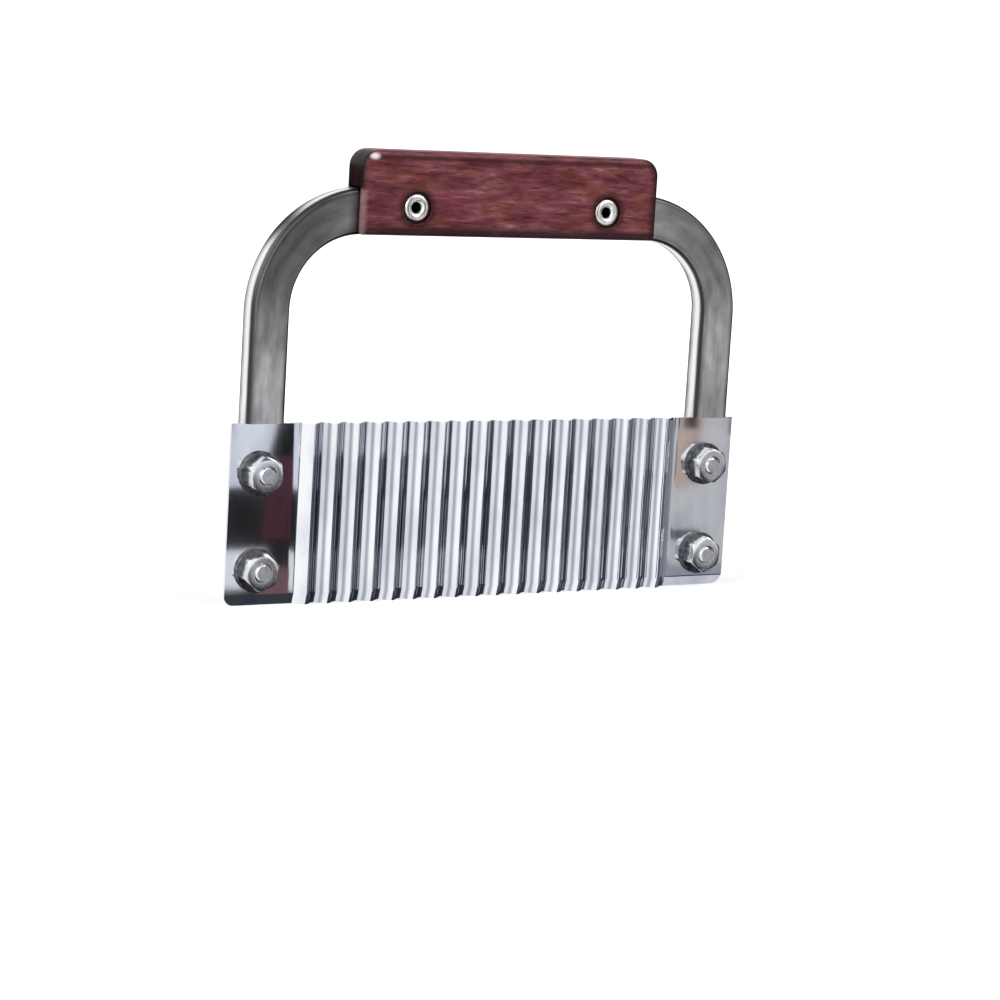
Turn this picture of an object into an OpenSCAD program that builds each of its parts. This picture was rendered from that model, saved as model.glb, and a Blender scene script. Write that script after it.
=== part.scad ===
// Crinkle cutter knife: a corrugated blade bolted across a bow handle with riveted wooden grip scales.
// X runs along the blade, Y from the front face to the back, Z up from the cutting edge.
// Y = 0 is the middle plane of the bow, and the blade lies against it from the front.

/* [Blade] */
// Length of the blade from end to end
blade_w = 165; // [130:1:220]
// Height of the blade from cutting edge to top edge
blade_h = 51; // [44:1:80]
// Thickness of the blade sheet
blade_sheet = 1; // [0.6:0.05:1.5]
// Width of the plain part at each end of the blade
blade_flat_w = 21; // [17:0.5:30]
// Radius of the two lower corners
blade_corner_r = 3.5; // [1:0.5:6]

/* [Corrugation] */
// Number of waves across the blade
wave_count = 18; // [8:1:24]
// Height of a wave, measured out from the plain ends
wave_depth = 2.6; // [1:0.1:3.5]
// Form of a wave, from nearly a sine to nearly a zigzag
wave_sharpness = 0.9; // [0.5:0.01:0.97]
// Flat strips that make up one wave
wave_steps = 12; // [8:2:16]

/* [Cutting edge] */
// Height of the ground bevel
bevel_h = 3; // [1.5:0.1:4.5]
// Thickness left at the very edge
edge_land = 0.12; // [0.05:0.01:0.4]

/* [Bow] */
// Distance from each leg out to the end of the blade
leg_inset = 3.5; // [2:0.5:6]
// Rise of the bow above the blade's top edge
bow_rise = 65.2; // [50:0.2:90]
// Thickness of the bow from front to back
bow_t = 6.8; // [4:0.2:8]
// Width of each leg
leg_w = 11.6; // [9.8:0.1:14]
// Depth of the bar that the grip sits on
bar_w = 13; // [10:0.5:16]
// Radius of the outer bends
bend_outer_r = 35; // [26:0.5:40]
// Radius of the inner bends
bend_inner_r = 21; // [14:0.5:25]
// Rounding of the long edges
bow_edge_r = 1.4; // [0.6:0.1:1.8]
// Height of the leg ends above the cutting edge
leg_end_z = 4.5; // [3:0.5:5]

/* [Grip] */
// Length of the grip scales
grip_l = 96; // [80:0.5:110]
// Height of the grip scales
grip_h = 23.5; // [19:0.5:30]
// Thickness across both scales
grip_t = 11; // [10:0.5:20]
// Radius of the two upper corners
grip_top_r = 5; // [3:0.5:8]
// Radius of the two lower corners
grip_bottom_r = 1.2; // [0.6:0.1:3]
// Rounding around the outer face of each scale
grip_edge_r = 1.8; // [0.6:0.1:3]
// Space left in the scales above the bar
grip_bar_gap = 0.2; // [0.1:0.05:1]

/* [Grip rivets] */
// Distance between the two rivets
rivet_span = 62; // [40:0.5:72]
// Height of the rivets above the underside of the grip
rivet_z = 7.9; // [6:0.1:8]
// Diameter of the rivet shank
rivet_d = 4.6; // [3.5:0.1:5.4]
// Diameter of the rolled ring at the front
rivet_ring_d = 8; // [7:0.1:9]
// Diameter of the hole in the tubular end
rivet_hole_d = 3; // [2:0.1:3.2]
// Depth of that hole
rivet_hole_depth = 6; // [4:0.5:9]
// Diameter of the flat head at the back
rivet_head_d = 8.4; // [7:0.1:9.4]
// Thickness of that head
rivet_head_h = 1.2; // [0.8:0.1:1.6]
// Depth of ring and head below the face of the wood
rivet_recess = 0.1; // [0.05:0.05:0.4]
// Space around the ring and the head in the wood
rivet_ring_gap = 0.5; // [0.2:0.1:1]

/* [Blade fasteners] */
// Diameter of the screws
screw_d = 4.8; // [4:0.1:5.2]
// Height of the lower screws above the cutting edge
screw_low_z = 10; // [9:0.5:12]
// Distance from the lower to the upper screws
screw_rise = 27; // [20:0.5:30]
// Diameter of the screw heads
screw_head_d = 9.2; // [8:0.1:9.6]
// Height of the screw heads
screw_head_h = 3.1; // [2:0.1:3.4]
// Width of the driver slot
slot_w = 1.2; // [0.8:0.1:1.6]
// Depth of the driver slot
slot_depth = 1.2; // [0.8:0.1:1.6]
// Length of thread that stands out of each nut
screw_proud = 0.5; // [0.2:0.1:2]
// Outer diameter of the washers
washer_d = 12.5; // [11.5:0.1:14]
// Thickness of the washers
washer_t = 1; // [0.6:0.1:1.6]
// Width across the flats of the nuts
nut_af = 9.5; // [8.5:0.1:10.5]
// Thickness of the nuts
nut_h = 4; // [3:0.1:5]

/* [Fits] */
// Radial space of a shank in its hole
hole_gap = 0.2; // [0.1:0.05:0.4]
// Radial space between a nut's bore and the screw
thread_gap = 0.05; // [0.02:0.01:0.1]

/* [Hidden] */
$fn = 64;
// Length by which cutting bodies pass the faces that they cut
over = 1;

bow_w = blade_w - 2 * leg_inset;
bow_top = blade_h + bow_rise;
bar_bottom = bow_top - bar_w;
leg_x = bow_w / 2 - leg_w / 2;
// Radius of the arc that rounds the inner edges, in edge radii: a little slack meets the faces at an angle
flare_ease = 1.25;

wave_zone_w = blade_w - 2 * blade_flat_w;
wave_pitch = wave_zone_w / wave_count;
bevel_cut = blade_sheet - edge_land;
bevel_angle = atan(bevel_cut / bevel_h);

rivet_rim_h = (rivet_ring_d - rivet_hole_d) / 4;
// Angle between the points that round the rolled ring
rim_step = 15;
ring_seat_y = -grip_t / 2 + rivet_recess + rivet_rim_h;
head_seat_y = grip_t / 2 - rivet_recess - rivet_head_h;
rivet_grip_l = head_seat_y - ring_seat_y;

washer_seat_y = -blade_sheet;
nut_seat_y = washer_seat_y - washer_t;
screw_l = bow_t / 2 - nut_seat_y + nut_h + screw_proud;
screw_end_chamfer = screw_d / 10;
nut_corner_d = nut_af / cos(30);
// A hand-tightened nut stops anywhere: turn of each one from flats upright
nut_turn = [6, -11, 14, -4];

screw_places = [
    [-leg_x, screw_low_z + screw_rise],
    [-leg_x, screw_low_z],
    [leg_x, screw_low_z + screw_rise],
    [leg_x, screw_low_z]
];
rivet_places = [
    [-rivet_span / 2, bar_bottom + rivet_z],
    [rivet_span / 2, bar_bottom + rivet_z]
];

// Shape of one wave: 0 in the valley, 1 on the crest, u counted in waves from a valley
function wave(u) = (1 - asin(wave_sharpness * cos(360 * u)) / asin(wave_sharpness)) / 2;

// Front face of the sheet seen from above, from left to right, past both ends
blade_reach = blade_w / 2 + over;
blade_front = concat(
    [[-blade_reach, -blade_sheet]],
    [for (i = [0 : wave_count * wave_steps])
        [i * wave_pitch / wave_steps - wave_zone_w / 2, -blade_sheet - wave_depth * wave(i / wave_steps)]],
    [[blade_reach, -blade_sheet]]
);
blade_back = [for (i = [len(blade_front) - 1 : -1 : 0]) blade_front[i] + [0, blade_sheet]];

// Places a part at (x, z) so that its own Z axis points out of the front face
module facing_front(place, y) {
    translate([place[0], y, place[1]])
        rotate([90, 0, 0])
            children();
}

// Round hole from front to back at (x, z)
module cross_hole(place, d) {
    facing_front(place, bow_t + grip_t)
        cylinder(d = d, h = 2 * (bow_t + grip_t));
}

// Rectangle standing on y = 0, its lower corners rounded by bottom_r and its upper ones by top_r
module rounded_face(w, h, bottom_r, top_r) {
    translate([-w / 2, bottom_r])
        square([w, h - bottom_r - top_r]);
    for (side = [-1, 1]) {
        if (bottom_r > 0)
            translate([side * (w / 2 - bottom_r), bottom_r])
                circle(bottom_r);
        if (top_r > 0)
            translate([side * (w / 2 - top_r), h - top_r])
                circle(top_r);
    }
    if (bottom_r > 0)
        translate([-w / 2 + bottom_r, 0])
            square([w - 2 * bottom_r, bottom_r]);
    if (top_r > 0)
        translate([-w / 2 + top_r, h - top_r])
            square([w - 2 * top_r, top_r]);
}

// The cutting tool of the grind: the front face of the sheet, tilted by the bevel angle
module bevel_grind() {
    tilted_front = [for (p = blade_front) [p[0], (p[1] + bevel_cut) * cos(bevel_angle)]];
    far_y = -blade_sheet - wave_depth - bevel_h;
    reach_z = 2 * (bevel_h + wave_depth);
    rotate([bevel_angle, 0, 0])
        translate([0, 0, -reach_z])
            linear_extrude(2 * reach_z)
                polygon(concat(tilted_front, [[blade_reach, far_y], [-blade_reach, far_y]]));
}

// Corrugated sheet with plain ends, ground to an edge along the bottom from the front
module blade() {
    color("lightsteelblue")
        intersection() {
            difference() {
                translate([0, 0, -over])
                    linear_extrude(blade_h + 2 * over)
                        polygon(concat(blade_front, blade_back));
                bevel_grind();
                for (place = screw_places)
                    cross_hole(place, screw_d + 2 * hole_gap);
            }
            rotate([90, 0, 0])
                linear_extrude(4 * (wave_depth + blade_sheet), center = true)
                    rounded_face(blade_w, blade_h, blade_corner_r, 0);
        }
}

// Section at the outside of the bow: from x = 0 out to reach, with both outer edges rounded
module rim_section(reach) {
    translate([0, -bow_t / 2])
        square([reach - bow_edge_r, bow_t]);
    translate([0, -bow_t / 2 + bow_edge_r])
        square([reach, bow_t - 2 * bow_edge_r]);
    for (side = [-1, 1])
        translate([reach - bow_edge_r, side * (bow_t / 2 - bow_edge_r)])
            circle(bow_edge_r);
}

// Section of the window in the bow: from x = 0 out to reach, flared to round the inner edges
module window_section(reach) {
    centre = bow_edge_r * (0.5 + sqrt((flare_ease * flare_ease - 0.5) / 2));
    difference() {
        translate([0, -bow_t / 2 - over])
            square([reach + bow_edge_r, bow_t + 2 * over]);
        translate([reach, -bow_t / 2 + bow_edge_r])
            square([2 * bow_edge_r, bow_t - 2 * bow_edge_r]);
        for (side = [-1, 1])
            translate([reach + centre, side * (bow_t / 2 - centre)])
                circle(flare_ease * bow_edge_r);
    }
}

// Carries a section that reaches bend_r round an arch: two legs, two bends and the bar on top
module arch(w, top_z, bottom_z, bend_r) {
    bend_x = w / 2 - bend_r;
    bend_z = top_z - bend_r;
    for (side = [0, 1])
        mirror([side, 0, 0]) {
            translate([bend_x, 0, bend_z])
                rotate([90, 0, 0])
                    rotate_extrude(angle = 90)
                        children();
            translate([bend_x, 0, bottom_z])
                linear_extrude(bend_z - bottom_z)
                    children();
        }
    translate([bend_x, 0, bend_z])
        rotate([0, -90, 0])
            linear_extrude(2 * bend_x)
                children();
}

// Everything inside the arch of the window
module bow_window() {
    window_w = bow_w - 2 * leg_w;
    arch(window_w, bar_bottom, -over, bend_inner_r)
        window_section(bend_inner_r);
    core_w = window_w - 2 * bend_inner_r;
    translate([-core_w / 2, -bow_t / 2 - over, -over])
        cube([core_w, bow_t + 2 * over, bar_bottom - bend_inner_r + over]);
}

// Steel bow: a bar for the grip, two bends and two legs, lapped to half thickness behind the blade
module handle_bow() {
    color("darkgray")
        difference() {
            arch(bow_w, bow_top, leg_end_z, bend_outer_r)
                rim_section(bend_outer_r);
            bow_window();
            translate([-bow_w / 2 - over, -bow_t / 2 - over, 0])
                cube([bow_w + 2 * over, bow_t / 2 + over, blade_h]);
            for (place = screw_places)
                cross_hole(place, screw_d + 2 * hole_gap);
            for (place = rivet_places)
                cross_hole(place, rivet_d + 2 * hole_gap);
        }
}

// Wooden scale that reaches from y = 0 to the front, rabbeted over its half of the bar
module scale_blank() {
    half_t = grip_t / 2;
    difference() {
        intersection() {
            translate([0, 0, bar_bottom])
                rotate([90, 0, 0])
                    linear_extrude(half_t)
                        rounded_face(grip_l, grip_h, grip_bottom_r, grip_top_r);
            translate([-grip_l / 2, 0, bar_bottom + grip_h / 2])
                rotate([0, 90, 0])
                    rotate([0, 0, 180])
                        linear_extrude(grip_l)
                            rounded_face(grip_h, half_t, 0, grip_edge_r);
            translate([0, 0, bar_bottom])
                linear_extrude(grip_h)
                    mirror([0, 1])
                        rounded_face(grip_l, half_t, 0, grip_edge_r);
        }
        translate([-grip_l / 2 - over, -bow_t / 2, bar_bottom - over])
            cube([grip_l + 2 * over, bow_t, bar_w + grip_bar_gap + over]);
        for (place = rivet_places)
            cross_hole(place, rivet_d + 2 * hole_gap);
    }
}

// Front scale, counterbored for the rolled rings of the rivets
module grip_front_scale() {
    color("#6e2f33")
        difference() {
            scale_blank();
            for (place = rivet_places)
                facing_front(place, ring_seat_y)
                    cylinder(d = rivet_ring_d + 2 * rivet_ring_gap, h = grip_t);
        }
}

// Rear scale, the mirror image, counterbored for the heads of the rivets
module grip_rear_scale() {
    color("#6e2f33")
        difference() {
            mirror([0, 1, 0])
                scale_blank();
            for (place = rivet_places)
                facing_front(place, head_seat_y + grip_t)
                    cylinder(d = rivet_head_d + 2 * rivet_ring_gap, h = grip_t);
        }
}

// Semi-tubular rivet: flat head at the back, hollow end rolled into a ring at the front
module grip_rivet(place) {
    rim_mid = (rivet_ring_d + rivet_hole_d) / 4;
    head_chamfer = rivet_head_h / 3;
    hole_floor = rivet_grip_l + rivet_rim_h - rivet_hole_depth;
    head = [
        [0, -rivet_head_h],
        [rivet_head_d / 2 - head_chamfer, -rivet_head_h],
        [rivet_head_d / 2, head_chamfer - rivet_head_h],
        [rivet_head_d / 2, 0]
    ];
    shank = [
        [rivet_d / 2, 0],
        [rivet_d / 2, rivet_grip_l]
    ];
    rolled_ring = [for (a = [0 : rim_step : 180])
        [rim_mid + rivet_rim_h * cos(a), rivet_grip_l + rivet_rim_h * sin(a)]];
    hole = [
        [rivet_hole_d / 2, hole_floor],
        [0, hole_floor]
    ];
    color("gainsboro")
        facing_front(place, head_seat_y)
            rotate_extrude()
                polygon(concat(head, shank, rolled_ring, hole));
}

// Slotted pan-head screw: the head lies on the back of the leg, the thread comes out at the front
module blade_screw(place) {
    head_round = screw_head_h / 2;
    color("silver")
        facing_front(place, bow_t / 2)
            difference() {
                rotate_extrude() {
                    polygon([
                        [0, 0],
                        [screw_d / 2, 0],
                        [screw_d / 2, screw_l - screw_end_chamfer],
                        [screw_d / 2 - screw_end_chamfer, screw_l],
                        [0, screw_l]
                    ]);
                    translate([0, -screw_head_h])
                        square([screw_head_d / 2 - head_round, screw_head_h]);
                    translate([0, -screw_head_h + head_round])
                        square([screw_head_d / 2, screw_head_h - head_round]);
                    translate([screw_head_d / 2 - head_round, -screw_head_h + head_round])
                        circle(head_round);
                }
                translate([-screw_head_d / 2 - over, -slot_w / 2, -screw_head_h - over])
                    cube([screw_head_d + 2 * over, slot_w, slot_depth + over]);
            }
}

// Flat washer between the blade and the nut
module blade_washer(place) {
    color("lightgray")
        facing_front(place, washer_seat_y)
            difference() {
                cylinder(d = washer_d, h = washer_t);
                translate([0, 0, -over])
                    cylinder(d = screw_d + 2 * hole_gap, h = washer_t + 2 * over);
            }
}

// Hexagon nut with its outer corners chamfered to a circle
module blade_nut(place, turn) {
    chamfer_r = nut_corner_d / 2 - nut_af / 2;
    chamfer_h = chamfer_r * tan(30);
    color("whitesmoke")
        facing_front(place, nut_seat_y)
            difference() {
                intersection() {
                    rotate([0, 0, 30 + turn])
                        cylinder(d = nut_corner_d, h = nut_h, $fn = 6);
                    rotate_extrude()
                        polygon([
                            [0, 0],
                            [nut_corner_d / 2 + over, 0],
                            [nut_corner_d / 2 + over, nut_h - chamfer_h - over * tan(30)],
                            [nut_af / 2, nut_h],
                            [0, nut_h]
                        ]);
                }
                translate([0, 0, -over])
                    cylinder(d = screw_d + 2 * thread_gap, h = nut_h + 2 * over);
            }
}

blade();
handle_bow();
grip_front_scale();
grip_rear_scale();
grip_rivet(rivet_places[0]);  // grip_rivet_left
grip_rivet(rivet_places[1]);  // grip_rivet_right
blade_screw(screw_places[0]);  // blade_screw_upper_left
blade_screw(screw_places[1]);  // blade_screw_lower_left
blade_screw(screw_places[2]);  // blade_screw_upper_right
blade_screw(screw_places[3]);  // blade_screw_lower_right
blade_washer(screw_places[0]);  // blade_washer_upper_left
blade_washer(screw_places[1]);  // blade_washer_lower_left
blade_washer(screw_places[2]);  // blade_washer_upper_right
blade_washer(screw_places[3]);  // blade_washer_lower_right
blade_nut(screw_places[0], nut_turn[0]);  // blade_nut_upper_left
blade_nut(screw_places[1], nut_turn[1]);  // blade_nut_lower_left
blade_nut(screw_places[2], nut_turn[2]);  // blade_nut_upper_right
blade_nut(screw_places[3], nut_turn[3]);  // blade_nut_lower_right
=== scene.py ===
"""Looks of a crinkle cutter knife: a corrugated blade bolted across a steel bow with a riveted wooden grip.

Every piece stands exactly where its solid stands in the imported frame, as a smooth closed surface.
Sizes are millimetres until a piece becomes a mesh. X runs along the blade, Y from front to back, Z up.
"""

import math

import bmesh
import bpy
import numpy as np
from mathutils import Matrix, Vector


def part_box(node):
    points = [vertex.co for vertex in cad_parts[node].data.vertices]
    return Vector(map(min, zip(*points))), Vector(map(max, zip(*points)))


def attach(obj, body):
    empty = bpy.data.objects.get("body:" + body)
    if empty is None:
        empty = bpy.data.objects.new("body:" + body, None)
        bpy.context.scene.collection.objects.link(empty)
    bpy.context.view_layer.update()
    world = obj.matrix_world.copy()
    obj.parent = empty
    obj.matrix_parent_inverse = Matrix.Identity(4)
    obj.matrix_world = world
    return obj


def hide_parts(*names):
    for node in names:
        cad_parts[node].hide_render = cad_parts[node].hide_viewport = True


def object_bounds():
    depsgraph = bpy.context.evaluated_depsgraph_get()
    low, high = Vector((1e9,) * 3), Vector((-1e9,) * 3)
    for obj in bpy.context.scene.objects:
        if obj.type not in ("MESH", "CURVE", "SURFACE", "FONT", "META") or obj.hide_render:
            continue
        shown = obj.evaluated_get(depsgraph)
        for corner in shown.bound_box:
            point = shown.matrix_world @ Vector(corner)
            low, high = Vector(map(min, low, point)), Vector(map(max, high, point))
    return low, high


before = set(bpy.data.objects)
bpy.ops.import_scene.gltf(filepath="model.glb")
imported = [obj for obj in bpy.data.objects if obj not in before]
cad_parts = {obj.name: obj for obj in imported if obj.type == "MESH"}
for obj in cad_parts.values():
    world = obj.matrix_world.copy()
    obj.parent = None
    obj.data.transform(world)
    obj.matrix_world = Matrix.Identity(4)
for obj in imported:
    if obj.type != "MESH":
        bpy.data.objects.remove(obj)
cad_low, cad_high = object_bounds()

MM = 0.001
TURN = 2 * math.pi
MERGE_DISTANCE = 1e-6
SLIVER_SIZE = 1e-7


# Sizes read from the frame, in millimetres


def node_box(node):
    """Lowest and highest corner of a solid."""
    low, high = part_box(node)
    return np.array(low) / MM, np.array(high) / MM


def node_centre(node):
    """Middle of a solid, seen from the front, as (x, z)."""
    low, high = node_box(node)
    return (low[[0, 2]] + high[[0, 2]]) / 2


CORNERS = ("upper_left", "lower_left", "upper_right", "lower_right")
SIDES = ("left", "right")

blade_low, blade_high = node_box("blade")
bow_low, bow_high = node_box("handle_bow")
grip_low, grip_high = node_box("grip_front_scale")
rivet_low, rivet_high = node_box("grip_rivet_right")
screw_low, screw_high = node_box("blade_screw_upper_right")
washer_low, washer_high = node_box("blade_washer_upper_right")
nut_low, nut_high = node_box("blade_nut_upper_right")

screw_places = {corner: node_centre("blade_screw_" + corner) for corner in CORNERS}
rivet_places = {side: node_centre("grip_rivet_" + side) for side in SIDES}

# Sizes that the boxes don't give

sheet_t = 1.0
flat_w = 21.0
wave_count = 18
wave_sharpness = 0.9
bevel_h = 3.0
edge_land = 0.12
blade_corner_r = 3.5
blade_edge_break = 0.12

bend_outer_r = 35.0
bend_inner_r = 21.0
bow_edge_r = 1.4
bow_side_fade = 0.55
bow_face_fade = 0.8
bow_rear_fade = 2.2
bow_lap_rows = 5

grip_top_r = 5.0
grip_bottom_r = 1.2
grip_edge_r = 1.8
grip_seam_break = 0.15
grip_bar_gap = 0.2
# Places of the painted shade and highlights on the grip, and of the painted shadow on the bar
painted_end_depth = 1.7
end_shade_lap = 0.8
end_shade_crown = 0.42
shade_line_depth = 1.9
highlight_place = np.array([-45.0, -5.3, 125.0])
highlight_squeeze = np.array([0.62, 1, 1])
grip_shadow_reach = 3.5

rivet_d = 4.6
rivet_ring_d = 8.0
rivet_hole_d = 3.0
rivet_hole_depth = 6.0
rivet_hole_shade = 0.4
rivet_head_h = 1.2
rivet_bore_d = 5.0
rivet_gap = 0.5
bore_mouth = 0.2

screw_d = 4.8
screw_bore_d = 5.2
thread_pitch = 0.8
thread_depth = 0.4
slot_w = 1.2
slot_depth = 1.2
washer_edge_r = 0.2
nut_af = 9.5
nut_bore_d = 4.9
nut_mouth = 0.35
nut_face_share = 0.94
nut_chamfer = 30
nut_ease = 0.12
nut_turns = {"upper_left": 6, "lower_left": -11, "upper_right": 14, "lower_right": -4}

wave_depth = -blade_low[1] - sheet_t
bevel_cut = sheet_t - edge_land
shoulder_z = blade_high[2]
leg_x = screw_places["upper_right"][0]
leg_w = 2 * (bow_high[0] - leg_x)
bar_underside = grip_low[2]
bar_top = bow_high[2]
half_bow_t = bow_high[1]


# Meshes


def mesh_of(name, points, caps=(), uv=None, tone=None):
    """An object from a grid of points in millimetres: quads between neighbours, and caps as further faces.

    Lines of the grid that meet at a seam or a pole are merged there, and the faces turn outwards.
    uv gives each point its (along, across) in metres, and tone one number for the painted light and shade.
    """
    rows, columns = points.shape[:2]
    first = (np.arange(rows - 1)[:, None] * columns + np.arange(columns - 1)).reshape(-1, 1)
    quads = first + np.array([0, columns, columns + 1, 1])
    mesh = bpy.data.meshes.new(name)
    mesh.from_pydata((points.reshape(-1, 3) * MM).tolist(), [], quads.tolist() + [list(cap) for cap in caps])
    if uv is not None:
        corner = np.zeros(len(mesh.loops), np.int32)
        mesh.loops.foreach_get("vertex_index", corner)
        layer = mesh.uv_layers.new(name="along")
        layer.data.foreach_set("uv", uv.reshape(-1, 2)[corner].astype(np.float32).ravel())
    if tone is not None:
        values = mesh.attributes.new("painted_light_tone", "FLOAT", "POINT")
        values.data.foreach_set("value", tone.astype(np.float32).ravel())
    work = bmesh.new()
    work.from_mesh(mesh)
    bmesh.ops.remove_doubles(work, verts=work.verts, dist=MERGE_DISTANCE)
    bmesh.ops.dissolve_degenerate(work, edges=work.edges, dist=SLIVER_SIZE)
    bmesh.ops.recalc_face_normals(work, faces=work.faces)
    work.to_mesh(mesh)
    work.free()
    thing = bpy.data.objects.new(name, mesh)
    bpy.context.scene.collection.objects.link(thing)
    return thing


def row_caps(points):
    """The first and last row of a grid as end faces, without the point that closes each row."""
    rows, columns = points.shape[:2]
    return range(columns - 1), range((rows - 1) * columns, rows * columns - 1)


def drill(thing, cutters):
    """Takes the cutters' volumes out of the thing, and removes the cutters."""
    for cutter in cutters:
        cut = thing.modifiers.new(cutter.name, "BOOLEAN")
        cut.operation = "DIFFERENCE"
        cut.solver = "EXACT"
        cut.object = cutter
    uncut = thing.data
    ready = thing.evaluated_get(bpy.context.evaluated_depsgraph_get())
    thing.data = bpy.data.meshes.new_from_object(ready)
    thing.modifiers.clear()
    bpy.data.meshes.remove(uncut)
    for cutter in cutters:
        bpy.data.objects.remove(cutter)
    return thing


def finish_piece(thing, node, material, crease=35):
    """Smooth shading with creases past an angle in degrees, the finish, and the place in the frame."""
    thing.data.shade_smooth()
    thing.data.set_sharp_from_angle(angle=math.radians(crease))
    thing.data.materials.clear()
    thing.data.materials.append(material)
    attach(thing, "root")
    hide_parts(node)


def arc(centre, radius, start, end, steps):
    """Points of an arc as pairs, with the angles in degrees."""
    angle = np.radians(np.linspace(start, end, steps + 1))
    return np.stack([centre[0] + radius * np.cos(angle), centre[1] + radius * np.sin(angle)], -1)


def turned(profile, centre, steps=48):
    """Grid of a turned form: each (radius, y) of the profile goes round the Y axis through centre (x, z)."""
    angle = np.linspace(0, TURN, steps + 1)
    radius, y = np.vstack(profile).T[:, :, None]
    x = centre[0] + radius * np.cos(angle)
    z = centre[1] + radius * np.sin(angle)
    return np.stack([x, y + 0 * angle, z], -1)


def round_bore(name, place, diameter, near, far):
    """A cutter for a plain round hole at (x, z), from y = near to y = far."""
    r = diameter / 2
    return mesh_of(name, turned([(0, near), (r, near), (r, far), (0, far)], place))


def box_cutter(name, low, high):
    """A closed box: its four upright edges as columns, each a row of two points, with both ends capped."""
    ring = [(low[0], low[1]), (high[0], low[1]), (high[0], high[1]), (low[0], high[1]), (low[0], low[1])]
    points = np.array([[(x, y, z) for x, y in ring] for z in (low[2], high[2])], float)
    return mesh_of(name, points, row_caps(points))


# Blade


def wave(u):
    """Height of the corrugation, 0 in a valley and 1 on a crest: (1 - asin(s cos 2 pi u) / asin s) / 2."""
    return (1 - np.arcsin(wave_sharpness * np.cos(TURN * u)) / math.asin(wave_sharpness)) / 2


def make_blade(material):
    """The sheet's section, a loop of (depth behind the front, height), carried along the wavy front line.

    Front line: y = -t - depth * wave(u), with u counted in waves. Bevel: depth behind the front is at least
    cut * (1 - z / bevel height). Lower corners: z is at least r - sqrt(r^2 - (|x| - w/2 + r)^2).
    """
    half = blade_high[0]
    zone = half - flat_w
    corner_start = half - blade_corner_r
    steps_per_wave = 28
    corner_angles = np.radians(np.arange(0, 78, 6))
    end_x = np.concatenate([
        np.linspace(zone, corner_start, 8)[1:-1],
        corner_start + blade_corner_r * np.sin(corner_angles),
        [half - blade_edge_break, half],
    ])
    x = np.concatenate([-end_x[::-1], np.linspace(-zone, zone, wave_count * steps_per_wave + 1), end_x])
    u = np.clip((x + zone) / (2 * zone), 0, 1) * wave_count
    front = -sheet_t - wave_depth * wave(u)

    edge = blade_edge_break
    top_arc = arc((edge, shoulder_z - edge), edge, 180, 90, 4)
    # Two rows close above the bevel keep its upper edge crisp
    front_z = np.concatenate([
        np.linspace(0, bevel_h, 7),
        bevel_h + np.array([0.1, 1]),
        np.linspace(bevel_h + 5, shoulder_z - 2 * edge, 9),
    ])
    rise = np.concatenate([np.stack([0 * front_z, front_z], -1), top_arc])
    fall = rise[::-1] * [-1, 1] + [sheet_t, 0]
    behind, z = np.concatenate([rise, fall, rise[:1]]).T[:, None, :]

    past = np.clip(np.abs(x) - corner_start, 0, blade_corner_r)[:, None]
    z = np.maximum(z, blade_corner_r - np.sqrt(blade_corner_r ** 2 - past ** 2))
    depth = np.maximum(behind, bevel_cut * (1 - z / bevel_h))
    at_end = np.abs(x)[:, None] == half
    depth = np.where(at_end, np.clip(depth, edge, sheet_t - edge), depth)
    points = np.stack([x[:, None] + 0 * z, front[:, None] + depth, z], -1)
    # Tone of the painted reflection and shade in the waves: 0 on the crests and plain ends, 1 in the valleys
    inside = np.abs(u - wave_count / 2) < wave_count / 2 - 0.5
    tone = np.where(inside, 1 - wave(u), 0)[:, None] + 0 * z
    thing = mesh_of("corrugated_blade", points, row_caps(points), tone=tone)
    drill(thing, [
        round_bore("hole_" + corner, place, screw_bore_d, -2 * sheet_t, sheet_t)
        for corner, place in screw_places.items()
    ])
    finish_piece(thing, "blade", material)


# Bow


def bow_edge(x, top, bend_r):
    """One edge of the bow's right half as (x, z) rows: lap behind the blade, leg, quarter circle and bar."""
    bend = arc((x - bend_r, top - bend_r), bend_r, 0, 90, 40)
    lap_z = np.linspace(bow_low[2], shoulder_z, bow_lap_rows)
    leg_z = np.linspace(shoulder_z, top - bend_r, 6)[:-1]
    bar_x = np.linspace(x - bend_r, 0, 8)[1:]
    leg = np.concatenate([lap_z, leg_z])
    return np.concatenate([np.stack([x + 0 * leg, leg], -1), bend, np.stack([bar_x, top + 0 * bar_x], -1)])


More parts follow.
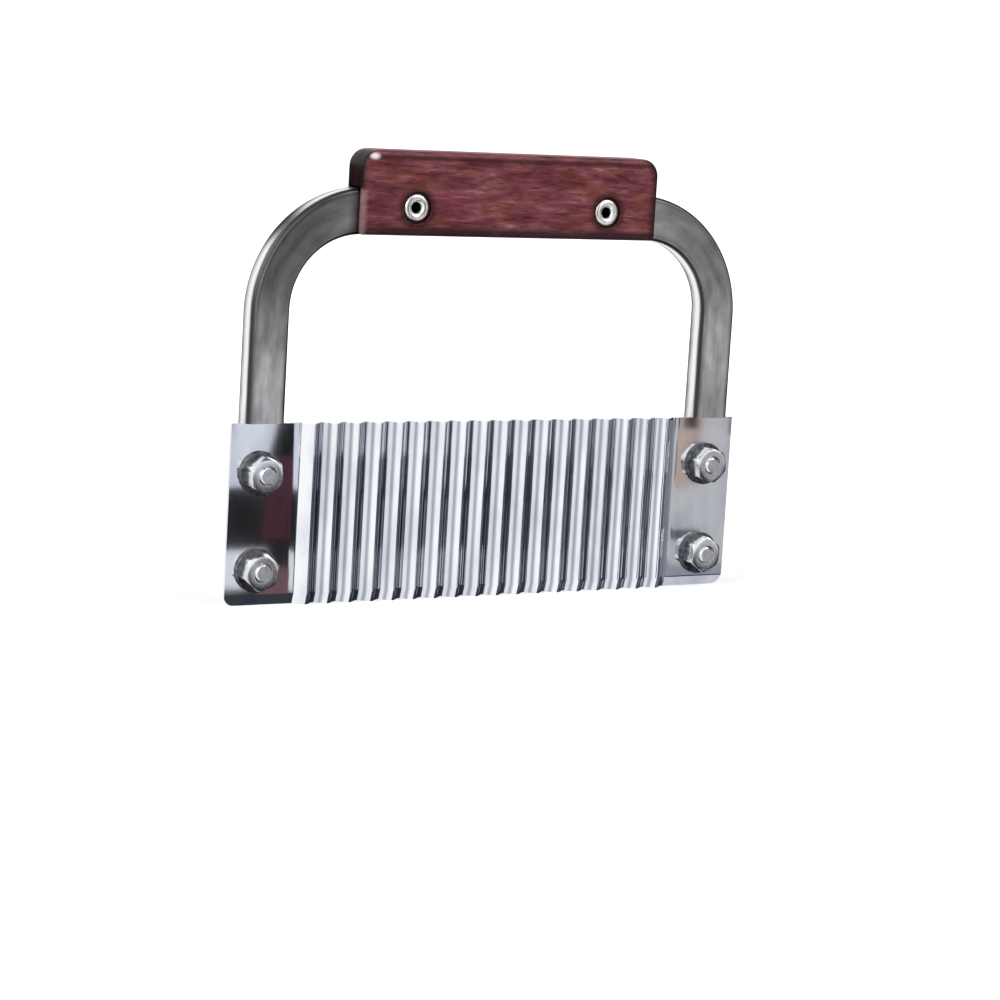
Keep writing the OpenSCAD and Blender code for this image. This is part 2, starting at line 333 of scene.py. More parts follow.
def make_bow(material):
    """A rounded rectangle carried round the bow, each section spanning from the inner edge to the outer edge.

    A section point is inner + across * (r + (width - 2 r) * share + out), where share is 0 or 1 and out lies
    on the corner's arc or just past its ends. Behind the blade the front half is cut away, y >= 0, which
    leaves a shoulder above the blade. The tone paints light and shade: a painted highlight on the sides, -1,
    painted shade on the edges, 1, and none on the faces, 0.
    """
    both = np.array([-1, 1])
    outer = bow_edge(bow_high[0], bar_top, bend_outer_r)
    inner = bow_edge(bow_high[0] - leg_w, bar_underside, bend_inner_r)
    outer, inner = (np.concatenate([half * both, half[-2::-1]]) for half in (outer, inner))
    rows = len(outer)
    row = np.arange(rows)
    lapped = np.minimum(row, rows - 1 - row) < bow_lap_rows

    r = bow_edge_r
    corner_steps = 8
    corners = [(0, -1, 180), (1, -1, 270), (1, 1, 0), (0, 1, 90)]
    arcs = []
    for _, side, start in corners:
        turn = arc((0, side * (half_bow_t - r)), r, start, start + 90, corner_steps)
        ahead = np.array([-math.sin(math.radians(start)), math.cos(math.radians(start))])
        onward = np.array([-ahead[1], ahead[0]])
        fades = (bow_side_fade, bow_face_fade) if side < 0 else (bow_rear_fade, bow_rear_fade)
        before, after = fades if start % 180 == 0 else fades[::-1]
        arcs += [turn[:1] - before * ahead, turn, turn[-1:] + after * onward]
    share = np.repeat([s for s, _, _ in corners], corner_steps + 3)
    out, y = np.concatenate(arcs).T
    along_arc = np.linspace(0, 1, corner_steps + 3)
    # Painted light round the section: highlight on the sides, shade on the edges, none on the faces
    front_tone = np.interp(along_arc, [0, 0.1, 0.3, 0.6, 0.9, 1], [-1, 0.1, 1, 1, 0.35, 0])
    rear_tone = np.interp(along_arc, [0, 0.1, 0.9, 1], [-1, 0.8, 0.4, 0])
    tone = np.concatenate([front_tone, front_tone[::-1], rear_tone, rear_tone[::-1]])
    share, out, y, tone = (np.append(values, values[0]) for values in (share, out, y, tone))

    width = np.linalg.norm(outer - inner, axis=1)[:, None]
    across = ((outer - inner) / width)[:, None, :]
    reach = r + (width - 2 * r) * share + out
    plane = inner[:, None, :] + across * reach[:, :, None]
    y = np.where(lapped[:, None], np.maximum(y, 0), y)
    points = np.stack([plane[:, :, 0], y, plane[:, :, 1]], -1)

    middle = (outer + inner) / 2
    along = np.concatenate([[0], np.cumsum(np.linalg.norm(np.diff(middle, axis=0), axis=1))])
    around = np.hypot(np.diff(out + leg_w * share), np.diff(points[rows // 2, :, 1]))
    girth = np.concatenate([[0], np.cumsum(around)])
    uv = np.stack(np.broadcast_arrays(along[:, None], girth), -1) * MM
    tones = np.broadcast_to(tone, (rows, len(tone)))
    thing = mesh_of("steel_bow", points, row_caps(points), uv, tones)
    drill(thing, [
        round_bore("hole_" + corner, place, screw_bore_d, -2 * half_bow_t, 2 * half_bow_t)
        for corner, place in screw_places.items()
    ] + [
        round_bore("rivet_hole_" + side, place, rivet_bore_d, -2 * half_bow_t, 2 * half_bow_t)
        for side, place in rivet_places.items()
    ])
    finish_piece(thing, "handle_bow", material)


# Grip


def grip_outline(inset):
    """Outline of a scale drawn in by inset, as closed (x, z) rows: a rectangle with two corner radii."""
    half = grip_high[0] - inset
    low_r = max(grip_bottom_r - inset, bore_mouth)
    high_r = grip_top_r - inset
    low, high = grip_low[2] + inset + low_r, grip_high[2] - inset - high_r
    points = np.concatenate([
        arc((half - low_r, low), low_r, 270, 360, 10),
        arc((half - high_r, high), high_r, 0, 90, 10),
        arc((high_r - half, high), high_r, 90, 180, 10),
        arc((low_r - half, low), low_r, 180, 270, 10),
    ])
    return np.concatenate([points, points[:1]])


def make_scale(name, node, side, seat_y, seat_d, material):
    """Outlines stacked from the middle plane to the outer face, drawn in along a quarter circle at the face.

    At angle a of the rounding: inset = r (1 - cos a), distance from the face = r (1 - sin a). The bar's
    rabbet, the rivet bores and their counterbores with eased mouths are then cut out. side is -1 in front
    and 1 behind.
    """
    face = grip_high[1] - grip_low[1]
    rounding = arc((0, 0), grip_edge_r, 0, 90, 10)
    levels = np.concatenate([
        [(grip_seam_break, 0), (0, grip_seam_break)],
        np.stack([grip_edge_r - rounding[:, 0], face - grip_edge_r + rounding[:, 1]], -1),
    ])
    points = np.stack([
        np.insert(grip_outline(inset), 1, side * y, axis=1) for inset, y in levels
    ])
    thing = mesh_of(name, points, row_caps(points))

    seat_r, bore_r = seat_d / 2, rivet_bore_d / 2
    counterbore = np.array([
        (0, -1), (bore_r, -1), (bore_r, seat_y), (seat_r, seat_y), (seat_r, face - bore_mouth),
        (seat_r + bore_mouth, face), (seat_r + bore_mouth, face + 1), (0, face + 1),
    ])
    rabbet = np.array([half_bow_t, -1]) * side
    drill(thing, [
        box_cutter("rabbet", (grip_low[0] - 1, min(rabbet), bar_underside - 1),
                   (grip_high[0] + 1, max(rabbet), bar_top + grip_bar_gap)),
    ] + [
        mesh_of("counterbore_" + end, turned(counterbore * [1, side], place, 64))
        for end, place in rivet_places.items()
    ])
    finish_piece(thing, node, material)


def make_rivet(side, material):
    """Turned profile: flat head behind, shank, and the tubular end rolled into a half ring round its hole.

    The tone is 1 inside the hole, where shade is painted, and 0 elsewhere.
    """
    head_r, shank_r, hole_r = (rivet_high[0] - rivet_low[0]) / 2, rivet_d / 2, rivet_hole_d / 2
    back, front = rivet_high[1], rivet_low[1]
    bottom = front + rivet_hole_depth
    seat = back - rivet_head_h
    ring_r = (rivet_ring_d / 2 - hole_r) / 2
    head_edge = rivet_head_h / 3
    profile = [
        [(0, back)],
        arc((head_r - head_edge, back - head_edge), head_edge, 90, 0, 6),
        [(head_r, seat), (shank_r, seat), (shank_r, front + ring_r)],
        arc((hole_r + ring_r, front + ring_r), ring_r, 360, 180, 20),
        [(hole_r, front + ring_r + rivet_hole_shade), (hole_r, bottom), (0, bottom)],
    ]
    points = turned(profile, rivet_places[side], 64)
    tone = np.zeros(points.shape[:2])
    tone[-3:] = 1
    thing = mesh_of("tubular_rivet_" + side, points, tone=tone)
    finish_piece(thing, "grip_rivet_" + side, material)


# Blade fasteners


def make_screw(corner, material):
    """Turned rows from the threaded end to the head, a rounded pan head with a slot.

    In the thread r = R - depth * |2 frac(y / pitch + a) - 1|, where a is the angle in turns, so that the
    crest climbs one pitch a turn.
    """
    end, back = screw_low[1], screw_high[1]
    seat = half_bow_t
    head_h = back - seat
    head_r, shank_r = (screw_high[0] - screw_low[0]) / 2, screw_d / 2
    rim = head_h / 2
    rows_per_turn, steps = 12, 48
    thread_y = np.arange(end, -sheet_t, thread_pitch / rows_per_turn)
    turn = np.linspace(0, 1, steps + 1)
    phase = (thread_y[:, None] / thread_pitch + turn) % 1
    thread_r = shank_r - thread_depth * np.abs(2 * phase - 1)
    thread_r = np.minimum(thread_r, shank_r - thread_depth + (thread_y - end)[:, None])
    plain = np.concatenate([
        [(shank_r - thread_depth, 0), (shank_r, thread_depth), (shank_r, seat), (head_r, seat)],
        arc((head_r - rim, back - rim), rim, 0, 90, 10),
        [(0, back)],
    ])
    radius = np.concatenate([[0 * turn], thread_r, plain[:, :1] + 0 * turn])
    y = np.concatenate([[end], thread_y, plain[:, 1]])[:, None] + 0 * turn
    place = screw_places[corner]
    x = place[0] + radius * np.cos(TURN * turn)
    z = place[1] + radius * np.sin(TURN * turn)
    thing = mesh_of("pan_screw_" + corner, np.stack([x, y, z], -1))
    drill(thing, [box_cutter(
        "slot", (place[0] - 2 * head_r, back - slot_depth, place[1] - slot_w / 2),
        (place[0] + 2 * head_r, back + 1, place[1] + slot_w / 2),
    )])
    finish_piece(thing, "blade_screw_" + corner, material)


def make_washer(corner, material):
    """Turned loop of a stamped washer: a flat ring, its two front edges rounded."""
    bore_r, rim_r = screw_bore_d / 2, (washer_high[0] - washer_low[0]) / 2
    front, back = washer_low[1], washer_high[1]
    e = washer_edge_r
    profile = [
        [(bore_r, back), (rim_r, back)],
        arc((rim_r - e, front + e), e, 0, -90, 6),
        arc((bore_r + e, front + e), e, 270, 180, 6),
        [(bore_r, back)],
    ]
    thing = mesh_of("washer_" + corner, turned(profile, screw_places[corner], 72))
    finish_piece(thing, "blade_washer_" + corner, material)


def make_nut(corner, material):
    """Polar rows from the bore over the face to the seat of a hexagon with rounded corners.

    At angle a the side lies at R(a) = (af / 2) * S^(-1/p), where S is the sum of cos(a - a_k)^p over the
    sides k that face that way. The face is a circle of radius c, and outside it the chamfer falls back by
    (R - c) * tan(chamfer).
    """
    seat, face = nut_high[1], nut_low[1]
    steps, sharpness = 144, 30
    angle = np.linspace(0, TURN, steps + 1)
    sides = math.radians(nut_turns[corner]) + TURN / 6 * np.arange(6)
    toward = np.maximum(np.cos(angle[:, None] - sides), 0)
    hexagon = nut_af / 2 * (toward ** sharpness).sum(1) ** (-1 / sharpness)
    bore, ring = nut_bore_d / 2 + 0 * angle, nut_af / 2 * nut_face_share + 0 * angle
    slope = (hexagon - ring) * math.tan(math.radians(nut_chamfer))
    ease, near_rim = nut_ease, 0.9
    rows = [
        (bore, seat), (bore, face + nut_mouth), (bore + nut_mouth, face), (ring - 2 * ease, face),
        (ring, face + ease / 3),
        (ring + (hexagon - ring) * near_rim, face + ease / 3 + slope * near_rim),
        (hexagon, face + ease + slope), (hexagon, seat - ease), (hexagon - ease, seat), (bore, seat),
    ]
    radius = np.stack([r for r, _ in rows])
    y = np.stack([depth + 0 * angle for _, depth in rows])
    place = screw_places[corner]
    points = np.stack([place[0] + radius * np.cos(angle), y, place[1] + radius * np.sin(angle)], -1)
    thing = mesh_of("hex_nut_" + corner, points)
    finish_piece(thing, "blade_nut_" + corner, material, crease=24)


# Finishes


def linear(colour):
    """An sRGB hex colour as linear red, green, blue and alpha."""
    channels = [int(colour[i:i + 2], 16) / 255 for i in (1, 3, 5)]
    return (*[c / 12.92 if c <= 0.04045 else ((c + 0.055) / 1.055) ** 2.4 for c in channels], 1)


def add(tree, kind, inputs=None, stops=None, **settings):
    """Adds a node: settings go on it, inputs on its sockets as values or links, stops on its colour ramp."""
    node = tree.nodes.new(kind)
    for name, value in settings.items():
        setattr(node, name, value)
    for socket, value in (inputs or {}).items():
        if isinstance(value, bpy.types.NodeSocket):
            tree.links.new(value, node.inputs[socket])
        else:
            node.inputs[socket].default_value = value
    if stops:
        elements = node.color_ramp.elements
        while len(elements) < len(stops):
            elements.new(1)
        for element, (place, colour) in zip(elements, stops):
            element.position = place
            element.color = linear(colour)
    return node


def per_mm(x, y, z):
    """Pattern scale for Object coordinates, from the size in millimetres of one blob along each axis."""
    return (1 / (x * MM), 1 / (y * MM), 1 / (z * MM))


def new_material(name):
    """An empty node material and its tree."""
    material = bpy.data.materials.new(name)
    material.use_nodes = True
    material.node_tree.nodes.clear()
    return material, material.node_tree


def polished_stainless():
    """Bright rolled stainless sheet: a cool mirror, broken by fine upright polishing lines and soft smears.

    Painted reflection and shade lie across the waves: white on the plain ends and the crests, tone 0, cool
    grey down the flanks and a paler grey in the valleys, tone 1. The lines are 0.35 mm apart, coarser than
    the real 0.05 mm, so that they show.
    """
    material, tree = new_material("polished_stainless_sheet")
    place = add(tree, "ShaderNodeTexCoord").outputs["Object"]
    stretched = add(tree, "ShaderNodeMapping", {"Vector": place, "Scale": per_mm(0.35, 0.35, 30)})
    lines = add(tree, "ShaderNodeTexNoise", {"Vector": stretched.outputs[0], "Scale": 1, "Detail": 3})
    spread = add(tree, "ShaderNodeMapping", {"Vector": place, "Scale": per_mm(7, 7, 16)})
    smears = add(tree, "ShaderNodeTexNoise", {"Vector": spread.outputs[0], "Scale": 1, "Detail": 4})
    gloss = add(tree, "ShaderNodeMapRange", {"Value": lines.outputs[0], "To Min": 0.03, "To Max": 0.07})
    rough = add(tree, "ShaderNodeMath", {
        0: smears.outputs[0], 1: 0.05, 2: gloss.outputs[0]}, operation="MULTIPLY_ADD")
    tone = add(tree, "ShaderNodeAttribute", attribute_name="painted_light_tone").outputs["Fac"]
    # Painted reflection and shade across the waves, white at the crests and grey down the flanks
    painted_wave_reflection = add(tree, "ShaderNodeValToRGB", {0: tone}, [
        (0, "#fdfdff"), (0.34, "#fbfcff"), (0.45, "#c6c9d0"), (0.6, "#a2a5ae"),
        (0.76, "#e6e8ee"), (1, "#e6e8ee")])
    tint = add(tree, "ShaderNodeValToRGB", {0: smears.outputs[0]}, [(0.3, "#e0e4ea"), (0.6, "#fafbfd")])
    colour = add(tree, "ShaderNodeMix", {
        "Factor": 1, 6: painted_wave_reflection.outputs[0], 7: tint.outputs[0]}, data_type="RGBA", blend_type="MULTIPLY")
    relief = add(tree, "ShaderNodeBump", {
        "Height": lines.outputs[0], "Strength": 0.05, "Distance": 0.02 * MM})
    surface = add(tree, "ShaderNodeBsdfPrincipled", {
        "Base Color": colour.outputs[2], "Metallic": 1,
        "Roughness": rough.outputs[0], "Normal": relief.outputs[0]})
    add(tree, "ShaderNodeOutputMaterial", {"Surface": surface.outputs[0]})
    return material


def satin_bar_steel():
    """Drawn steel bar with a satin grind along its length.

    The sides carry a painted highlight and the rounded edges a painted shade. A painted shadow lies as a dark
    line where the bar enters the left end of the grip. The lines are 0.3 mm apart, coarser than the real
    ones, so that they show.
    """
    material, tree = new_material("satin_bar_steel")
    place = add(tree, "ShaderNodeUVMap", uv_map="along").outputs[0]
    stretched = add(tree, "ShaderNodeMapping", {"Vector": place, "Scale": per_mm(25, 0.3, 1)})
    lines = add(tree, "ShaderNodeTexNoise", {"Vector": stretched.outputs[0], "Scale": 1, "Detail": 4})
    spread = add(tree, "ShaderNodeMapping", {"Vector": place, "Scale": per_mm(9, 4, 1)})
    patches = add(tree, "ShaderNodeTexNoise", {"Vector": spread.outputs[0], "Scale": 1, "Detail": 4})
    tone = add(tree, "ShaderNodeAttribute", attribute_name="painted_light_tone").outputs["Fac"]
    ground = add(tree, "ShaderNodeValToRGB", {0: patches.outputs[0]}, [(0.3, "#a8a6a6"), (0.7, "#dfdedf")])
    colour = ground.outputs[0]
    # Mask of the painted highlight on the sides, where the tone is -1
    drawn = add(tree, "ShaderNodeMath", {0: tone, 1: -1.0}, operation="MULTIPLY").outputs[0]
    body = add(tree, "ShaderNodeSeparateXYZ", {0: add(tree, "ShaderNodeTexCoord").outputs["Object"]})
    # Mask of the painted shadow on the bar where it enters the left end of the grip
    painted_grip_shadow = add(tree, "ShaderNodeMapRange", {
        "Value": body.outputs["X"], "From Min": (grip_low[0] - grip_shadow_reach) * MM, "From Max": grip_low[0] * MM,
        "To Max": 0.9}).outputs[0]
    left = add(tree, "ShaderNodeMath", {0: 0, 1: body.outputs["X"]}, operation="GREATER_THAN").outputs[0]
    painted_grip_shadow = add(tree, "ShaderNodeMath", {0: painted_grip_shadow, 1: left}, operation="MULTIPLY").outputs[0]
    # Painted highlight on the sides, painted shade on the edges and the painted shadow at the grip
    for mask, shade in ((drawn, "#f6f6f7"), (tone, "#403f41"), (painted_grip_shadow, "#161517")):
        colour = add(tree, "ShaderNodeMix", {
            "Factor": mask, 6: colour, 7: linear(shade)}, data_type="RGBA").outputs[2]
    rough = add(tree, "ShaderNodeMapRange", {"Value": lines.outputs[0], "To Min": 0.24, "To Max": 0.38})
    relief = add(tree, "ShaderNodeBump", {
        "Height": lines.outputs[0], "Strength": 0.12, "Distance": 0.03 * MM})
    surface = add(tree, "ShaderNodeBsdfPrincipled", {
        "Base Color": colour, "Metallic": 1, "Roughness": rough.outputs[0], "Normal": relief.outputs[0]})
    add(tree, "ShaderNodeOutputMaterial", {"Surface": surface.outputs[0]})
    return material


def oiled_rosewood():
    """Dark red hardwood, oiled: long fibres along the grip, flecks from purple to brown, a low satin gloss.

    Painted shade darkens the wood round the rivets, along the lower edge and the right rim, and in a line
    below the upper edge. Painted shade makes the ends dark above the bar, and a painted highlight makes them
    pale beside it. One pale spot at the upper left corner is a painted highlight too.
    """
    material, tree = new_material("oiled_red_hardwood")
    place = add(tree, "ShaderNodeTexCoord").outputs["Object"]
    noises = []
    for size, detail in (((13, 3.6, 3.0), 5), ((6, 1.1, 1.1), 4), ((4, 0.5, 0.5), 1), ((13, 5, 5), 3)):
        mapping = add(tree, "ShaderNodeMapping", {"Vector": place, "Scale": per_mm(*size)})
        noises.append(add(tree, "ShaderNodeTexNoise", {
            "Vector": mapping.outputs[0], "Scale": 1, "Detail": detail, "Distortion": 0.6}).outputs[0])
    figure, fibres, pores, hue = noises
    grain = add(tree, "ShaderNodeMix", {"Factor": 0.45, 2: figure, 3: fibres})
    colour = add(tree, "ShaderNodeValToRGB", {0: grain.outputs[0]}, [
        (0.33, "#451b22"), (0.44, "#653139"), (0.52, "#754147"), (0.6, "#875156"), (0.7, "#a57679")])
    cast = add(tree, "ShaderNodeValToRGB", {0: hue}, [(0.38, "#ffe2ee"), (0.5, "#ffffff"), (0.62, "#fff0d8")])
    toned = add(tree, "ShaderNodeMix", {
        "Factor": 1, 6: colour.outputs[0], 7: cast.outputs[0]}, data_type="RGBA", blend_type="MULTIPLY")

    axes = add(tree, "ShaderNodeSeparateXYZ", {0: place}).outputs
    flat = add(tree, "ShaderNodeVectorMath", {0: place, 1: (1, 0, 1)}, operation="MULTIPLY").outputs[0]
    span = add(tree, "ShaderNodeMath", {0: axes["X"]}, operation="ABSOLUTE").outputs[0]
    # Masks of the painted shade on the ends above the bar and of the painted highlight beside it
    inward = add(tree, "ShaderNodeMath", {
        0: span, 1: (grip_high[0] - painted_end_depth) * MM}, operation="SUBTRACT").outputs[0]
    crown = add(tree, "ShaderNodeMapRange", {
        "Value": axes["Z"], "From Min": (grip_high[2] - grip_top_r) * MM, "From Max": grip_high[2] * MM,
        "To Min": 0, "To Max": end_shade_crown * grip_top_r * MM}).outputs[0]
    round_corner = add(tree, "ShaderNodeMath", {0: inward, 1: crown}, operation="ADD").outputs[0]
    above = add(tree, "ShaderNodeMath", {
        0: axes["Z"], 1: (bar_top - end_shade_lap) * MM}, operation="SUBTRACT").outputs[0]
    below = add(tree, "ShaderNodeMath", {0: bar_top * MM, 1: axes["Z"]}, operation="SUBTRACT").outputs[0]
    off_middle = add(tree, "ShaderNodeMath", {0: axes["Y"]}, operation="ABSOLUTE").outputs[0]
    off_face = add(tree, "ShaderNodeMath", {
        0: (grip_high[1] - grip_low[1]) * MM, 1: off_middle}, operation="SUBTRACT").outputs[0]
    rounding = add(tree, "ShaderNodeMath", {0: round_corner, 1: off_face}, operation="MINIMUM").outputs[0]
    shaded_upper_end, highlit_lower_end = (
        add(tree, "ShaderNodeMath", {0: reach, 1: part}, operation="MINIMUM").outputs[0]
        for reach, part in ((rounding, above), (inward, below)))
    # Mask of the painted shade along the right rim
    shaded_right_rim = add(tree, "ShaderNodeMath", {0: axes["X"], 1: crown}, operation="ADD").outputs[0]
    # Distance to the painted highlight near the upper left corner
    squat = add(tree, "ShaderNodeVectorMath", {0: place, 1: highlight_squeeze}, operation="MULTIPLY").outputs[0]
    highlight_distance = add(tree, "ShaderNodeVectorMath", {
        0: squat, 1: highlight_place * highlight_squeeze * MM}, operation="DISTANCE").outputs["Value"]
    # Distance from the line of painted shade below the upper edge
    line = add(tree, "ShaderNodeMath", {
        0: axes["Z"], 1: (grip_high[2] - shade_line_depth) * MM}, operation="SUBTRACT").outputs[0]
    off_shade_line = add(tree, "ShaderNodeMath", {0: line}, operation="ABSOLUTE").outputs[0]

    # Each mark, from the pores to the painted light and shade: what it follows, where it begins, where it is
    # full, its strength there and its shade
    grain_and_painted_light = [
        (pores, 0.62, 0.7, 0.7, "#3a161b"),
        # Painted shade in a line below the rounded upper edge
        (off_shade_line, 1.0 * MM, 0.3 * MM, 0.7, "#34141a"),
        # Painted shade along the lower edge
        (axes["Z"], (bar_underside + 3.2) * MM, (bar_underside + 1.7) * MM, 0.85, "#24121a"),
        # Painted shade on the ends above the bar
        (shaded_upper_end, 0, 1.0 * MM, 0.97, "#12070a"),
        # Painted highlight on the ends beside the bar
        (highlit_lower_end, 0, 1.4 * MM, 0.4, "#a88c8c"),
        # Painted shade along the right rim
        (shaded_right_rim, (grip_high[0] - 3.4) * MM, (grip_high[0] - 1.2) * MM, 0.85, "#1c0c10"),
        # Painted highlight: a pale spot at the upper left corner
        (highlight_distance, 1.25 * MM, 0.35 * MM, 0.9, "#fff4f2"),
    ]
    # Painted shade round the rivets
    for x, z in rivet_places.values():
        away = add(tree, "ShaderNodeVectorMath", {0: flat, 1: (x * MM, 0, z * MM)}, operation="DISTANCE")
        grain_and_painted_light.append((away.outputs["Value"], 6.4 * MM, 4.9 * MM, 0.75, "#2a1216"))
    for value, begin, full, most, shade in grain_and_painted_light:
        mask = add(tree, "ShaderNodeMapRange", {
            "Value": value, "From Min": begin, "From Max": full, "To Min": 0, "To Max": most})
        toned = add(tree, "ShaderNodeMix", {
            "Factor": mask.outputs[0], 6: toned.outputs[2], 7: linear(shade)}, data_type="RGBA")
    rough = add(tree, "ShaderNodeMapRange", {"Value": fibres, "To Min": 0.3, "To Max": 0.5})
    relief = add(tree, "ShaderNodeBump", {"Height": fibres, "Strength": 0.25, "Distance": 0.08 * MM})
    surface = add(tree, "ShaderNodeBsdfPrincipled", {
        "Base Color": toned.outputs[2], "Roughness": rough.outputs[0], "IOR": 1.48,
        "Specular IOR Level": 0.16, "Normal": relief.outputs[0]})
    add(tree, "ShaderNodeOutputMaterial", {"Surface": surface.outputs[0]})
    return material


def plated_metal(name, low, high, rough_low, rough_high):
    """Plating on a small turned part: a mottled tint and slanted tool marks 0.4 mm apart.

    Holes, tone 1, are painted dark as shade deep inside them.
    """
    material, tree = new_material(name)
    place = add(tree, "ShaderNodeTexCoord").outputs["Object"]
    spread = add(tree, "ShaderNodeMapping", {"Vector": place, "Scale": per_mm(1.6, 1.6, 1.6)})
    mottle = add(tree, "ShaderNodeTexNoise", {"Vector": spread.outputs[0], "Scale": 1, "Detail": 4})
    fine = add(tree, "ShaderNodeMapping", {
        "Vector": place, "Scale": per_mm(0.4, 0.4, 2.5), "Rotation": (0, 0.6, 0)})
    marks = add(tree, "ShaderNodeTexNoise", {"Vector": fine.outputs[0], "Scale": 1, "Detail": 2})
    tint = add(tree, "ShaderNodeValToRGB", {0: mottle.outputs[0]}, [(0.35, low), (0.65, high)])
    # Painted shade in the holes, where the tone is 1
    hole = add(tree, "ShaderNodeAttribute", attribute_name="painted_light_tone").outputs["Fac"]
    colour = add(tree, "ShaderNodeMix", {
        "Factor": hole, 6: tint.outputs[0], 7: linear("#101110")}, data_type="RGBA")
    rough = add(tree, "ShaderNodeMapRange", {
        "Value": marks.outputs[0], "To Min": rough_low, "To Max": rough_high})
    relief = add(tree, "ShaderNodeBump", {
        "Height": marks.outputs[0], "Strength": 0.08, "Distance": 0.03 * MM})
    surface = add(tree, "ShaderNodeBsdfPrincipled", {
        "Base Color": colour.outputs[2], "Metallic": 1,
        "Roughness": rough.outputs[0], "Normal": relief.outputs[0]})
    add(tree, "ShaderNodeOutputMaterial", {"Surface": surface.outputs[0]})
    return material


# The knife

make_blade(polished_stainless())
make_bow(satin_bar_steel())

wood = oiled_rosewood()
ring_seat = -rivet_low[1] - (rivet_ring_d - rivet_hole_d) / 4
head_seat = rivet_high[1] - rivet_head_h
make_scale("wood_scale_front", "grip_front_scale", -1, ring_seat, rivet_ring_d + 2 * rivet_gap, wood)
make_scale("wood_scale_rear", "grip_rear_scale", 1, head_seat,
           rivet_high[0] - rivet_low[0] + 2 * rivet_gap, wood)

nickel = plated_metal("polished_nickel_plate", "#f0eeea", "#fcfbf9", 0.28, 0.44)
for side in SIDES:
    make_rivet(side, nickel)

zinc = plated_metal("bright_zinc_plate", "#e0e2e6", "#f4f5f7", 0.12, 0.32)
# The washers are darker than the nuts, dark like the rims round the nuts
darker_washer_zinc = plated_metal("darker_washer_plate", "#4a4b4f", "#77797d", 0.24, 0.42)
for corner in CORNERS:
    make_screw(corner, zinc)
    make_washer(corner, darker_washer_zinc)
    make_nut(corner, zinc)


# Stage

camera_place = Vector((-432.6, -741.5, 160.2)) * MM
camera_yaw, camera_pitch, camera_roll = (math.radians(a) for a in (30.5, 8.77, 3.45))
camera_lens = 108.8
camera_film = 36
light_target = Vector((0, 0, 60)) * MM
floor_half = 6.0
card_y = -100.0
card_step = 0.5


def make_camera():
    """The photograph's view: yaw to the right of +Y, pitch below the horizon, then roll about the view."""
    forward = Vector((
        math.sin(camera_yaw) * math.cos(camera_pitch),
        math.cos(camera_yaw) * math.cos(camera_pitch),
        -math.sin(camera_pitch),
    ))
    level = Vector((math.cos(camera_yaw), -math.sin(camera_yaw), 0))
    upright = level.cross(forward)
    right = level * math.cos(camera_roll) + upright * math.sin(camera_roll)
    up = upright * math.cos(camera_roll) - level * math.sin(camera_roll)
    camera = bpy.data.objects.new("camera", bpy.data.cameras.new("camera"))
    camera.data.lens = camera_lens
    camera.data.sensor_width = camera_film
    camera.data.clip_start = 0.01
    turned_to = Matrix((right, up, -forward)).transposed().to_4x4()
    camera.matrix_world = Matrix.Translation(camera_place) @ turned_to
    bpy.context.scene.collection.objects.link(camera)
    bpy.context.scene.camera = camera


def make_softbox(name, place, size, watts):
    """A square soft light that faces the knife."""
    light = bpy.data.lights.new(name, "AREA")
    light.size = size
    light.energy = watts
    lamp = bpy.data.objects.new(name, light)
    lamp.location = place
    lamp.rotation_euler = (light_target - Vector(place)).to_track_quat("-Z", "Y").to_euler()
    bpy.context.scene.collection.objects.link(lamp)


def flat_card(name, centre, across, up):
    """A flat rectangle in metres: its middle, and half its size along two vectors."""
    c, a, u = (np.array(v, float) for v in (centre, across, up))
    mesh = bpy.data.meshes.new(name)
    corners = [c - a - u, c + a - u, c + a + u, c - a + u]
    mesh.from_pydata([tuple(corner) for corner in corners], [], [(0, 1, 2, 3)])
    return bpy.data.objects.new(name, mesh)


def make_floor():
    """A wide pale floor, white to the eye, that keeps the knife's shadow and doesn't show in the metal."""
    middle = (0, 0, float(cad_low[2]))
    floor = flat_card("floor", middle, (floor_half, 0, 0), (0, floor_half, 0))
    floor.visible_glossy = False
    bpy.context.scene.collection.objects.link(floor)
    material, tree = new_material("pale_floor")
    rays = add(tree, "ShaderNodeLightPath")
    place = add(tree, "ShaderNodeTexCoord").outputs["Object"]
    away = add(tree, "ShaderNodeVectorMath", {0: place}, operation="LENGTH")
    lift = add(tree, "ShaderNodeMapRange", {
        "Value": away.outputs["Value"], "From Min": 0.1, "From Max": 0.6, "To Min": 0.35, "To Max": 1.0})
    glow = add(tree, "ShaderNodeMath", {
        0: rays.outputs["Is Camera Ray"], 1: lift.outputs[0]}, operation="MULTIPLY")
    matt = add(tree, "ShaderNodeBsdfDiffuse", {"Color": linear("#f2f2f2")})
    white = add(tree, "ShaderNodeEmission", {"Color": (1, 1, 1, 1), "Strength": glow.outputs[0]})
    both = add(tree, "ShaderNodeAddShader", {0: matt.outputs[0], 1: white.outputs[0]})
    add(tree, "ShaderNodeOutputMaterial", {"Surface": both.outputs[0]})
    floor.data.materials.append(material)


def make_flag(name, centre, across, up, shade):
    """A flat card in millimetres that only reflections show, as flags beside a camera are."""
    flag = flat_card(name, *(np.array(v, float) * MM for v in (centre, across, up)))
    for rays in ("camera", "diffuse", "transmission", "shadow", "volume_scatter"):
        setattr(flag, "visible_" + rays, False)
    bpy.context.scene.collection.objects.link(flag)
    material, tree = new_material(name)
    card = add(tree, "ShaderNodeEmission", {"Color": linear(shade), "Strength": 1})
    add(tree, "ShaderNodeOutputMaterial", {"Surface": card.outputs[0]})
    flag.data.materials.append(material)


def in_mirror(x, z):
    """Where the line of sight to (x, z) on a plain end of the blade, mirrored there, meets the card plane."""
    eye = np.array(camera_place) / MM
    share = (-sheet_t - card_y) / (-sheet_t - eye[1])
    return x + (x - eye[0]) * share, z + (z - eye[2]) * share


